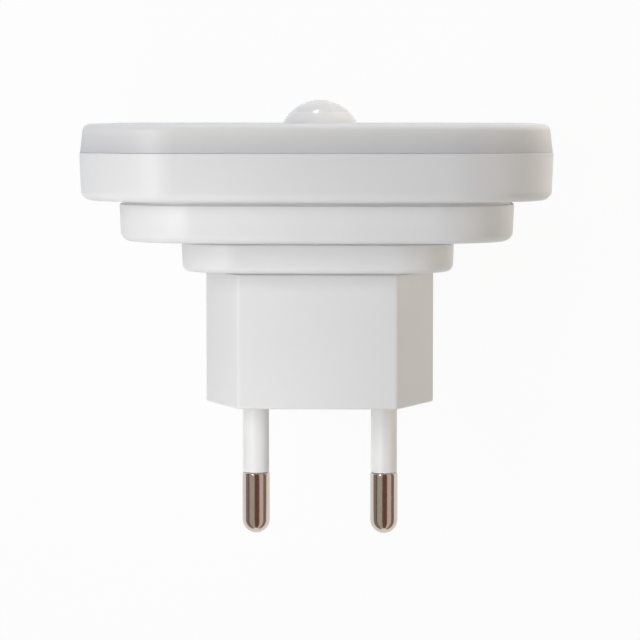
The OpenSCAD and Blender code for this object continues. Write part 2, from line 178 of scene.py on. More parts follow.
def raisePillar(pillar, centre, floor, top):
    # draws a pillar up from its open ring in the floor, with a blind pilot hole for its screw
    runRings([(pillar["radius"], floor), (pillar["radius"], top), (pillar["pilot"], top),
              (pillar["pilot"], pillar["pilotEnd"])], centre)
    pickOpen(pillar["pilotEnd"], centre, pillar["pilot"])
    bpy.ops.mesh.edge_face_add()


def cornerSpots(at):
    return [(x * at, y * at) for x in (-1, 1) for y in (-1, 1)]


def drawWalls(forward):
    # turns the picked face into straight walls of this length, open at both ends
    bpy.ops.mesh.inset(thickness=0, depth=forward * mm, use_boundary=True)
    openFace()


def sideProfile(height, lean, edge, steps):
    # (inward, forward) moves up a leaning side and round its edge
    tilt = math.radians(lean)
    reach = (edge + (height - edge) * math.sin(tilt)) / math.cos(tilt)
    spots = [(0, 0)]
    for i in range(steps + 1):
        turn = tilt + (math.pi / 2 - tilt) * i / steps
        spots.append((reach - edge * math.cos(turn), height - edge + edge * math.sin(turn)))
    return [(b[0] - a[0], b[1] - a[1]) for a, b in zip(spots, spots[1:])]


def growSide(profile, way):
    # steps the picked face inward and along, one ring of faces a step
    for inward, forward in profile:
        bpy.ops.mesh.inset(thickness=inward * mm, depth=way * forward * mm, use_boundary=True,
                           use_even_offset=True)


def roundOutline(width, corner, height, rounding):
    pickOutline(width, corner, height)
    bpy.ops.mesh.bevel(offset=rounding["edge"] * mm, segments=rounding["steps"])


def finishPiece(piece, smoothAngle):
    bpy.ops.mesh.select_all(action="SELECT")
    bpy.ops.mesh.remove_doubles(threshold=mergeWithin * mm)
    bpy.ops.mesh.normals_make_consistent(inside=False)
    bpy.ops.object.mode_set(mode="OBJECT")
    piece.rotation_euler = (math.pi / 2, 0, 0)  # the room side turns to -Y
    bpy.ops.object.transform_apply(location=True, rotation=True, scale=True)
    bpy.ops.object.shade_smooth_by_angle(angle=math.radians(smoothAngle))
    weighted = piece.modifiers.new("evenShading", "WEIGHTED_NORMAL")
    weighted.keep_sharp = True
    bpy.ops.object.modifier_apply(modifier=weighted.name)


def startPiece(name):
    # the first primitive is made outside edit mode, so that it has an object of its own
    pickNone()
    bpy.ops.mesh.primitive_plane_add(size=mm)
    piece = bpy.context.object
    piece.name = piece.data.name = name
    startEdit(piece)
    bpy.ops.mesh.select_all(action="SELECT")
    bpy.ops.mesh.delete(type="VERT")
    return piece


# Rear housing: the wide and middle tiers, hollow, open to the diffuser, with a screw pillar in each corner.
rearHousing = {
    "tier1": {"width": 65, "corner": 14, "lean": 2.2, "edge": 1.4},
    "tier2": {"width": 54.5, "corner": 11, "lean": 2.2, "edge": 1.4},
    "rim": 0.2,  # flat ring inside each rounded edge
    "seam": {"edge": 0.12, "steps": 3},  # rounding that makes a fine groove under the diffuser
    "neck": {"inset": 0.5, "height": 0.6, "edge": 0.12, "steps": 2},  # shadow line under the tier above
    "hollow1": {"width": 61.8, "depth": 61.8, "corner": 12.4, "floor": 31.2},
    "hollow2": {"width": 51.3, "depth": 51.3, "corner": 9.4, "floor": 25.5},
    "opening": {"width": 28, "depth": 20, "corner": 3, "floor": 23.9},
    "screwHole": {"at": 14.5, "radius": 1.05, "around": 24},
    "pillar": {"at": 19.95, "radius": 2.4, "pilot": 1, "pilotEnd": 27.3, "around": 32},
    "cornerSteps": 24,
    "edgeSteps": 7,
    "smoothAngle": 30,
}


def hangTier(tier, top, bottom, spec, neck=None):
    # one tier, widest at its top, with a face left out at both ends; a neck sets it off from the tier above
    width, corner, steps = tier["width"], tier["corner"], spec["cornerSteps"]
    if neck:
        narrow = width - 2 * neck["inset"]
        addOutline(narrow, narrow, corner - neck["inset"], top, steps)
        drawWalls(-neck["height"])
        top -= neck["height"]
    addOutline(width, width, corner, top, steps)
    growSide(sideProfile(top - bottom, tier["lean"], tier["edge"], spec["edgeSteps"]), -1)
    openFace(spec["rim"])
    if neck:
        joinAt(top)
        roundOutline(width, corner, top, neck)


def buildRearHousing(spec):
    piece = startPiece("rearHousing")
    steps = spec["cornerSteps"]
    hangTier(spec["tier1"], level["seam"], level["tier1"], spec)
    hangTier(spec["tier2"], level["tier1"], level["tier2"], spec, spec["neck"])
    joinAt(level["tier1"])
    top = level["seam"]
    hole, pillar = spec["screwHole"], spec["pillar"]
    posts = list(zip(cornerSpots(hole["at"]), cornerSpots(pillar["at"])))
    for hollow in (spec["hollow1"], spec["hollow2"], spec["opening"]):
        addOutline(hollow["width"], hollow["depth"], hollow["corner"], top, steps)
        drawWalls(hollow["floor"] - top)
        if hollow is spec["opening"]:
            for holeSpot, pillarSpot in posts:
                addRing(hole["radius"], top, holeSpot, hole["around"])
                addRing(pillar["radius"], top, pillarSpot, pillar["around"])
        joinAt(top)
        top = hollow["floor"]
    floor = spec["hollow2"]["floor"]
    for holeSpot, pillarSpot in posts:
        runRings([(hole["radius"], floor), (hole["radius"], top)], holeSpot)
        raisePillar(pillar, pillarSpot, floor, spec["hollow1"]["floor"])
    joinAt(top)
    roundOutline(spec["tier1"]["width"], spec["tier1"]["corner"], level["seam"], spec["seam"])
    finishPiece(piece, spec["smoothAngle"])
    return piece


housing = buildRearHousing(rearHousing)
print("rear housing:", len(housing.data.polygons), "faces")

# Plug housing: the narrow tier and the six-sided plug body, with the sleeves' holes in its wall face.
plugHousing = {
    "tier3": {"width": 38.2, "corner": 8, "lean": 2.2, "edge": 1},
    "rim": 0.2,
    "width": 32.7,
    "thickness": 26,
    "flat": 22.5,  # width of its broad faces
    "side": 4,  # and of the narrow face at each side
    "edge": 0.6,
    "wallFace": {"edge": 0.3, "steps": 4, "rim": 0.1},
    "neck": {"inset": 0.45, "height": 0.55, "edge": 0.12, "steps": 2},
    "hollow": {"width": 35, "corner": 6.4, "floor": 21},
    "wall": 1.6,
    "base": 2.4,
    "pins": 18.6,
    "hole": {"edge": 0.25, "around": 48},
    # rings of a pin's tower, from the wall face in: sleeve, collar, solder stub and outside
    "tower": ((1.95, 0.25), (1.95, 2.4), (2.95, 2.4), (2.95, 3.4), (1.15, 3.4), (1.15, 4.2), (3.9, 4.2),
              (3.9, 2.4)),
    "pillar": {"at": 14.5, "radius": 1.55, "pilot": 1, "pilotEnd": 21.02, "around": 32},
    "cornerSteps": 15,
    "edgeSteps": 6,
    "smoothAngle": 30,
}


def addPlugOutline(spec, inset, height, steps):
    # eight-sided outline of the plug body, its corners rounded, left picked as one face
    tilt = math.atan2(spec["thickness"] - spec["side"], spec["width"] - spec["flat"])
    half = (spec["width"] / 2 - inset, spec["thickness"] / 2 - inset)
    flat = spec["flat"] / 2 - inset * math.tan(tilt / 2)
    side = spec["side"] / 2 - inset * math.tan((math.pi / 2 - tilt) / 2)
    bpy.ops.mesh.select_all(action="DESELECT")
    bpy.ops.mesh.primitive_plane_add(size=2 * mm, location=(0, 0, height * mm))
    bpy.ops.transform.resize(value=(half[0], half[1], 1), center_override=(0, 0, height * mm))
    for x, y in cornerSpots(1):
        bpy.ops.mesh.bisect(plane_co=(x * half[0] * mm, y * side * mm, height * mm),
                            plane_no=(x * math.sin(tilt), y * math.cos(tilt), 0), clear_outer=True)
        pickFlat(height)
    for turn, atX in ((tilt, flat), (math.pi / 2 - tilt, half[0])):
        pick("VERT", lambda v: abs(abs(v.co.x / mm) - atX) < touch and abs(v.co.z / mm - height) < touch)
        back = spec["edge"] * math.tan(turn / 2)
        bpy.ops.mesh.bevel(offset=back * mm, segments=steps, affect="VERTICES", clamp_overlap=False)
    pickFlat(height)


def buildPlugHousing(spec):
    piece = startPiece("plugHousing")
    steps = spec["cornerSteps"]
    outlineSteps = (steps + 1) // 2 - 1  # eight corners, so as many points in all as a tier's four
    top, base, floor = level["tier3"], spec["base"], spec["hollow"]["floor"]
    # a neck under the narrow tier, then the body down to its wall face, whose edge is rounded
    neck, wallFace = spec["neck"], spec["wallFace"]
    shoulder = top - neck["height"]
    addPlugOutline(spec, neck["inset"], top, outlineSteps)
    drawWalls(-neck["height"])
    addPlugOutline(spec, 0, shoulder, outlineSteps)
    bpy.ops.mesh.inset(thickness=0, depth=-(shoulder - wallFace["edge"]) * mm, use_boundary=True)
    growSide(sideProfile(wallFace["edge"], 0, wallFace["edge"], wallFace["steps"]), -1)
    openFace(wallFace["rim"])
    addPlugOutline(spec, spec["wall"], base, outlineSteps)
    openFace()
    mouth = (spec["tower"][0][0] + spec["hole"]["edge"], 0)
    pinSpots = [(side * spec["pins"] / 2, 0) for side in (-1, 1)]
    for centre in pinSpots:
        addRing(mouth[0], 0, centre, spec["hole"]["around"])
    joinAt(0)
    for centre in pinSpots:
        runRings((mouth,) + spec["tower"], centre)
    joinAt(base)
    runTo(base, floor)
    # the hollow of the narrow tier and the pillars that its screws turn into
    hollow, pillar = spec["hollow"], spec["pillar"]
    addOutline(hollow["width"], hollow["width"], hollow["corner"], level["tier2"], steps)
    drawWalls(floor - level["tier2"])
    for centre in cornerSpots(pillar["at"]):
        addRing(pillar["radius"], floor, centre, pillar["around"])
    joinAt(floor)
    for centre in cornerSpots(pillar["at"]):
        raisePillar(pillar, centre, floor, level["tier2"])
    joinAt(shoulder)
    hangTier(spec["tier3"], level["tier2"], top, spec, neck)
    joinAt(top)
    joinAt(level["tier2"])
    finishPiece(piece, spec["smoothAngle"])
    return piece


plug = buildPlugHousing(plugHousing)
print("plug housing:", len(plug.data.polygons), "faces")

# Diffuser cover: a shallow milky tray with a round dish in its face for the lens.
diffuserCover = {
    "width": 64.8,
    "corner": 13.9,
    "lean": 7,
    "edge": 1.1,
    "rim": 0.3,
    "front": 1.8,  # thickness of the face
    "seam": {"edge": 0.1, "steps": 3},
    "lip": {"width": 61.6, "corner": 12.3, "depth": 2.5, "thickness": 0.9},
    # the hole's wall follows the dome, so that the gap round it stays a hair's width
    "hole": ((5.966, 38.15), (6.03, 37.6), (6.03, 36.4)),
    "dish": {"rim": 8, "foot": 6.15, "depth": 1.9, "steps": 16},
    "boss": 8.2,  # outer radius of the thick ring behind the dish
    "cornerSteps": 24,
    "edgeSteps": 8,
    "smoothAngle": 30,
}


def dishProfile(dish, face):
    # (radius, height) of a funnel that sinks in softly from the face and runs out flat at its foot
    spots = []
    for i in range(dish["steps"] + 1):
        part = i / dish["steps"]
        sunk = part * part * (3 - 2 * part)  # level at both ends
        spots.append((dish["rim"] + (dish["foot"] - dish["rim"]) * part, face - dish["depth"] * sunk))
    return spots


def buildDiffuserCover(spec):
    piece = startPiece("diffuserCover")
    steps, face, seam = spec["cornerSteps"], level["face"], level["seam"]
    addOutline(spec["width"], spec["width"], spec["corner"], seam, steps)
    growSide(sideProfile(face - seam, spec["lean"], spec["edge"], spec["edgeSteps"]), 1)
    openFace(spec["rim"])
    path = dishProfile(spec["dish"], face) + list(spec["hole"])
    path += [(spec["boss"], path[-1][1]), (spec["boss"], face - spec["front"])]
    addRing(spec["dish"]["rim"], face, (0, 0), 4 * (steps + 1))  # as many points as the outline has
    joinAt(face)
    runRings(path)
    lip = spec["lip"]
    roof, lipEnd = face - spec["front"], seam - lip["depth"]
    inside = lip["width"] - 2 * lip["thickness"]
    addOutline(inside, inside, lip["corner"] - lip["thickness"], roof, steps)
    drawWalls(lipEnd - roof)
    joinAt(roof)
    addOutline(lip["width"], lip["width"], lip["corner"], lipEnd, steps)
    drawWalls(seam - lipEnd)
    joinAt(lipEnd)
    joinAt(seam)
    roundOutline(spec["width"], spec["corner"], seam, spec["seam"])
    finishPiece(piece, spec["smoothAngle"])
    return piece


diffuser = buildDiffuserCover(diffuserCover)
print("diffuser:", len(diffuser.data.polygons), "faces")

# Sensor lens: a thin dome with a flange under the diffuser and small lenses moulded on its inner side.
sensorLens = {
    "radius": 6,
    "thickness": 0.6,
    "skirt": 1,
    "flange": 7.2,
    "flangeThickness": 0.8,
    "around": 96,
    "rings": 48,
    # rings of small lenses: from and to, in degrees off the axis, and how many
    "facets": ((0, 15, 1), (15, 45, 6), (45, 75, 12)),
    "facetGap": 0.07,
    "facetRise": 0.12,
    "smoothAngle": 40,
}


def addHalfBall(radius, height, spec):
    bpy.ops.mesh.select_all(action="DESELECT")
    bpy.ops.mesh.primitive_uv_sphere_add(segments=spec["around"], ring_count=spec["rings"],
                                         radius=radius * mm, location=(0, 0, height * mm))
    bpy.ops.mesh.bisect(plane_co=(0, 0, height * mm), plane_no=(0, 0, 1), clear_inner=True)


def pickFacet(spec, low, high, first, last):
    # picks the inner faces between two angles off the axis and two angles round it
    def inFacet(face):
        spot = face.calc_center_median() / mm - Vector((0, 0, level["lens"]))
        offAxis = math.degrees(math.atan2(math.hypot(spot.x, spot.y), spot.z))
        roundAxis = math.degrees(math.atan2(spot.y, spot.x)) % 360
        onBall = abs(spot.length - spec["radius"] + spec["thickness"]) < 2 * ringTouch and spot.z > 0
        return onBall and low < offAxis < high and first < roundAxis < last
    pick("FACE", inFacet)


def buildSensorLens(spec):
    piece = startPiece("sensorLens")
    height, radius = level["lens"], spec["radius"]
    inner = radius - spec["thickness"]
    flangeTop = height - spec["skirt"]
    foot = flangeTop - spec["flangeThickness"]
    addHalfBall(radius, height, spec)
    runRings([(radius, height), (radius, flangeTop), (spec["flange"], flangeTop), (spec["flange"], foot),
              (inner, foot), (inner, height)])
    addHalfBall(inner, height, spec)
    for low, high, count in spec["facets"]:
        for i in range(count):
            pickFacet(spec, low, high, 360 / count * i, 360 / count * (i + 1))
            bpy.ops.mesh.inset(thickness=spec["facetGap"] * mm, depth=-spec["facetRise"] * mm)
    finishPiece(piece, spec["smoothAngle"])
    return piece


lens = buildSensorLens(sensorLens)
print("lens:", len(lens.data.polygons), "faces")

for piece, node, slotName in (
    (housing, "rear_housing", "white_housing"),
    (plug, "plug_housing", "white_housing"),
    (diffuser, "diffuser_cover", "milky_diffuser"),
    (lens, "fresnel_lens", "milky_lens"),
):
    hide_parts(node)
    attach(piece, "root")


def shade(hexColour):
    # sRGB hex to the linear colour that a node takes
    parts = [int(hexColour[i:i + 2], 16) / 255 for i in (1, 3, 5)]
    return tuple(c / 12.92 if c <= 0.04045 else ((c + 0.055) / 1.055) ** 2.4 for c in parts) + (1,)


def per(size):
    # how many times a pattern of this size in millimetres fits into a metre
    return 1 / (size * mm)


def addNode(tree, kind, settings={}, links={}):
    node = tree.nodes.new("ShaderNode" + kind)
    for name, value in settings.items():
        if isinstance(name, str) and hasattr(node, name):
            setattr(node, name, value)
        else:
            node.inputs[name].default_value = value
    for name, socket in links.items():
        tree.links.new(socket, node.inputs[name])
    return node


def blankTree(owner):
    # the nodes of a material or world, turned on and cleared
    owner.use_nodes = True
    owner.node_tree.nodes.clear()
    return owner.node_tree


def newFinish(name, shaderSettings):
    finish = bpy.data.materials.new(name)
    tree = blankTree(finish)
    shader = addNode(tree, "BsdfPrincipled", shaderSettings)
    addNode(tree, "OutputMaterial", {}, {"Surface": shader.outputs["BSDF"]})
    spot = addNode(tree, "TexCoord").outputs["Object"]
    return finish, tree, shader, spot


noiseSpan = (0.3, 0.7)  # between which most of a noise texture lies
glossSplit = 3  # the gloss changes this many times as finely as the tone


def giveSurface(tree, shader, spot, spec):
    # uneven tone, uneven gloss and a fine relief, each at its own size
    tone = addNode(tree, "TexNoise", {"Scale": per(spec["patch"]), "Detail": 3}, {"Vector": spot})
    colour = addNode(tree, "Mix", {"data_type": "RGBA", 6: shade(spec["colour"]), 7: shade(spec["second"])},
                     {0: tone.outputs["Fac"]})
    gloss = addNode(tree, "TexNoise", {"Scale": per(spec["patch"] / glossSplit), "Detail": 4},
                    {"Vector": spot})
    rough = addNode(tree, "MapRange", {"From Min": noiseSpan[0], "From Max": noiseSpan[1],
                                       "To Min": spec["rough"][0], "To Max": spec["rough"][1]},
                    {"Value": gloss.outputs["Fac"]})
    # a grain that runs one way is squeezed along the other
    lay = addNode(tree, "Mapping", {"Scale": spec.get("lay", (1, 1, 1))}, {"Vector": spot})
    grain = addNode(tree, "TexNoise", {"Scale": per(spec["grain"]), "Detail": 2},
                    {"Vector": lay.outputs["Vector"]})
    relief = addNode(tree, "Bump", {"Strength": spec["relief"], "Distance": spec["depth"] * mm},
                     {"Height": grain.outputs["Fac"]})
    tree.links.new(colour.outputs[2], shader.inputs["Base Color"])
    tree.links.new(rough.outputs["Result"], shader.inputs["Roughness"])
    tree.links.new(relief.outputs["Normal"], shader.inputs["Normal"])


def paintOver(tree, shader, mask, coat):
    # Lays another colour, and if given another gloss or metal, over what the mask picks. A Mix node takes
    # numbers at 2 and 3 and gives one at 0, and takes colours at 6 and 7 and gives one at 2.
    colour = addNode(tree, "Mix", {"data_type": "RGBA", 7: shade(coat["colour"])},
                     {0: mask, 6: shader.inputs["Base Color"].links[0].from_socket})
    tree.links.new(colour.outputs[2], shader.inputs["Base Color"])
    for name, key in (("Roughness", "rough"), ("Metallic", "metallic")):
        if key not in coat:
            continue
        socket = shader.inputs[name]
        under = {2: socket.links[0].from_socket} if socket.links else {}
        mixed = addNode(tree, "Mix", {2: socket.default_value, 3: coat[key]}, {0: mask, **under})
        tree.links.new(mixed.outputs[0], socket)


def boxMask(tree, spot, low, high):
    # 1 inside a box between two corners, 0 outside
    along = addNode(tree, "SeparateXYZ", {}, {0: spot}).outputs
    mask = None
    for i in range(3):
        inside = addNode(tree, "Math", {"operation": "COMPARE", 1: (low[i] + high[i]) / 2 * mm,
                                        2: (high[i] - low[i]) / 2 * mm}, {0: along[i]}).outputs[0]
        if mask:
            inside = addNode(tree, "Math", {"operation": "MULTIPLY"}, {0: mask, 1: inside}).outputs[0]
        mask = inside
    return mask


def fromAxis(tree, spot, centre=(0, 0)):
    # how far each point is from a line along Y
    moved = addNode(tree, "VectorMath", {"operation": "SUBTRACT", 1: (centre[0] * mm, 0, centre[1] * mm)},
                    {0: spot})
    flat = addNode(tree, "VectorMath", {"operation": "MULTIPLY", 1: (1, 0, 1)}, {0: moved.outputs[0]})
    return addNode(tree, "VectorMath", {"operation": "LENGTH"}, {0: flat.outputs[0]}).outputs["Value"]


def postMask(tree, spot, centre, radius):
    # 1 inside a round post along Y, 0 outside
    away = fromAxis(tree, spot, centre)
    return addNode(tree, "Math", {"operation": "LESS_THAN", 1: radius * mm}, {0: away}).outputs[0]


# White ABS from a spark-eroded mould: a satin skin that softens the highlights.
# Its real grain is about 0.05 mm, too fine to show, so it is drawn at 0.35 mm and very shallow.
housingAbs = {"colour": "#E9E9E9", "second": "#E5E5E6", "patch": 18, "rough": (0.34, 0.46), "grain": 0.35,
              "relief": 0.2, "depth": 0.01}
whiteAbs, tree, shader, spot = newFinish("satinMouldedAbs", {"IOR": 1.53})
giveSurface(tree, shader, spot, housingAbs)

# Milky polycarbonate from a blasted mould: light sinks in and comes out softened. The thin face over the
# hollow is painted cool and a little darker, as painted shade, and the thick rim is painted lighter and
# neutral, as painted light through the thick plastic and off its rounded edge. The grain is drawn coarse
# too.
milkyPc = {"colour": "#CBCFD8", "second": "#C4C8D2", "patch": 26, "rough": (0.4, 0.5), "grain": 0.4,
           # painted light: the rim colour lightens the thick edge and its rounding
           "relief": 0.2, "depth": 0.01, "rim": "#E8E8E6", "rimGlowFrom": 10.5, "rimGlowTo": 13.6,
           # painted shade: the dish colour darkens the dish round the lens
           # painted shade: the foot colour darkens the rim towards the seam
           "foot": "#CFCFD3", "dish": "#CBCCD1", "dishShadeFrom": 8.4, "dishShadeTo": 7}
milkyCover, tree, shader, spot = newFinish("frostedMilkyPolycarbonate", {
    "IOR": 1.58, "Subsurface Weight": 0.3, "Subsurface Radius": (1, 1, 1.1), "Subsurface Scale": 1.2 * mm})
giveSurface(tree, shader, spot, milkyPc)
# how far out from the straight of the outline a point is, in the plane of the face
straight = (diffuserCover["width"] / 2 - diffuserCover["corner"]) * mm
folded = addNode(tree, "VectorMath", {"operation": "ABSOLUTE"}, {0: spot})
folded = addNode(tree, "VectorMath", {"operation": "SUBTRACT", 1: (straight, 1, straight)},
                 {0: folded.outputs[0]})
folded = addNode(tree, "VectorMath", {"operation": "MAXIMUM", 1: (0, 0, 0)}, {0: folded.outputs[0]})
outward = addNode(tree, "VectorMath", {"operation": "LENGTH"}, {0: folded.outputs[0]})
# painted light: the thick rim and its rounded edge are painted lighter than the face
rimGlowShare = addNode(tree, "MapRange", {
    "interpolation_type": "SMOOTHSTEP", "From Min": milkyPc["rimGlowFrom"] * mm,
    "From Max": milkyPc["rimGlowTo"] * mm}, {"Value": outward.outputs["Value"]})
paintOver(tree, shader, rimGlowShare.outputs["Result"], {"colour": milkyPc["rim"]})
# painted shade: the rim is painted darker from the face down to the seam, where the housing behind it
# stops the light
along = addNode(tree, "SeparateXYZ", {}, {0: spot}).outputs
footShadeShare = addNode(tree, "MapRange", {"From Min": -level["face"] * mm, "From Max": -level["seam"] * mm},
                    {"Value": along[1]})
footShadeShare = addNode(tree, "Math", {"operation": "MULTIPLY"},
                    {0: footShadeShare.outputs["Result"], 1: rimGlowShare.outputs["Result"]})
paintOver(tree, shader, footShadeShare.outputs[0], {"colour": milkyPc["foot"]})
# painted shade: the dish round the lens is painted darker, as it is sunk in and has nothing bright behind
# it
dishShadeShare = addNode(tree, "MapRange", {
    "interpolation_type": "SMOOTHSTEP", "From Min": milkyPc["dishShadeFrom"] * mm,
    "From Max": milkyPc["dishShadeTo"] * mm}, {"Value": fromAxis(tree, spot)})
paintOver(tree, shader, dishShadeShare.outputs["Result"], {"colour": milkyPc["dish"]})

# Milky polyethylene from a polished mould: a thin glossy dome through which the small lenses moulded on
# its inner side show faintly: a darker middle, a fine ring between two rows, and the gaps between them.
lensPe = {"colour": "#F3F2F0", "second": "#EDECEA", "patch": 4, "rough": (0.14, 0.2), "grain": 0.6,
          "relief": 0.08, "depth": 0.01, "inner": "#E6E6E5", "middle": "#DADADA", "gap": "#F5F5F4",
          "gapWidth": 0.03, "gapShare": 0.35,  # the width is an angle, as seen from the ball's centre
          "rowLength": 7}  # a row is taken to be this long, so that its gaps look as wide as its rings
milkyLens, tree, shader, spot = newFinish("polishedMilkyPolyethylene", {
    "IOR": 1.51, "Subsurface Weight": 0.35, "Subsurface Radius": (1, 1, 1), "Subsurface Scale": 0.6 * mm})
giveSurface(tree, shader, spot, lensPe)
moved = addNode(tree, "VectorMath", {"operation": "SUBTRACT", 1: (0, -level["lens"] * mm, 0)}, {0: spot})
aimed = addNode(tree, "VectorMath", {"operation": "NORMALIZE"}, {0: moved.outputs[0]})
along = addNode(tree, "SeparateXYZ", {}, {0: aimed.outputs[0]}).outputs
roomward = addNode(tree, "Math", {"operation": "MULTIPLY", 1: -1}, {0: along[1]})
offAxis = addNode(tree, "Math", {"operation": "ARCCOSINE"}, {0: roomward.outputs[0]}).outputs[0]
around = addNode(tree, "Math", {"operation": "ARCTAN2"}, {0: along[2], 1: along[0]}).outputs[0]
for (low, high, count), zoneColour in zip(sensorLens["facets"], (lensPe["middle"], lensPe["inner"], None)):
    inZone = addNode(tree, "Math", {"operation": "COMPARE", 1: math.radians(low + high) / 2,
                                    2: math.radians(high - low) / 2}, {0: offAxis}).outputs[0]
    if zoneColour:
        paintOver(tree, shader, inZone, {"colour": zoneColour})
    # the ring at the zone's outer edge, then the gaps between its lenses
    lines = addNode(tree, "Math", {"operation": "COMPARE", 1: math.radians(high),
                                   2: lensPe["gapWidth"] / 2}, {0: offAxis}).outputs[0]
    if count > 1:
        turns = addNode(tree, "Math", {"operation": "MULTIPLY", 1: count / (2 * math.pi)},
                        {0: around}).outputs[0]
        toGap = addNode(tree, "Math", {"operation": "PINGPONG", 1: 0.5}, {0: turns}).outputs[0]
        gap = addNode(tree, "Math", {"operation": "LESS_THAN",
                                     1: lensPe["gapWidth"] / 2 * count / lensPe["rowLength"]},
                      {0: toGap}).outputs[0]
        inGap = addNode(tree, "Math", {"operation": "MULTIPLY"}, {0: gap, 1: inZone}).outputs[0]
        lines = addNode(tree, "Math", {"operation": "MAXIMUM"}, {0: lines, 1: inGap}).outputs[0]
    faint = addNode(tree, "Math", {"operation": "MULTIPLY", 1: lensPe["gapShare"]}, {0: lines}).outputs[0]
    paintOver(tree, shader, faint, {"colour": lensPe["gap"]})

# Nylon moulded round the pin: a little smoother than the housing, with rub marks along it.
# The marks are drawn 0.3 mm wide, wider than real ones, so that they show.
sleevePa = {"colour": "#F3F3F1", "second": "#ECECEB", "patch": 5, "rough": (0.28, 0.4), "grain": 0.3,
            "relief": 0.15, "depth": 0.008, "lay": (1, 0.15, 1)}
whiteNylon, tree, shader, spot = newFinish("mouldedNylonSleeve", {"IOR": 1.53})
giveSurface(tree, shader, spot, sleevePa)

# Bright nickel over turned brass: mirror-like, with fine rub marks along the pin from being plugged in.
nickel = {"colour": "#D5CBC1", "second": "#C9BEB2", "patch": 2, "rough": (0.12, 0.2), "grain": 0.22,
          "relief": 0.12, "depth": 0.004, "lay": (1, 0.06, 1)}
nickelPlate, tree, shader, spot = newFinish("nickelPlatedBrass", {"Metallic": 1})
giveSurface(tree, shader, spot, nickel)

for piece, finish in ((housing, whiteAbs), (plug, whiteAbs), (diffuser, milkyCover), (lens, milkyLens)):
    piece.data.materials.clear()
    piece.data.materials.append(finish)


def wear(finish, *names):
    for name in names:
        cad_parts[name].material_slots[0].material = finish


wear(nickelPlate, "live_pin", "neutral_pin")
wear(whiteNylon, "live_pin_sleeve", "neutral_pin_sleeve")
print("outer finishes: ready")

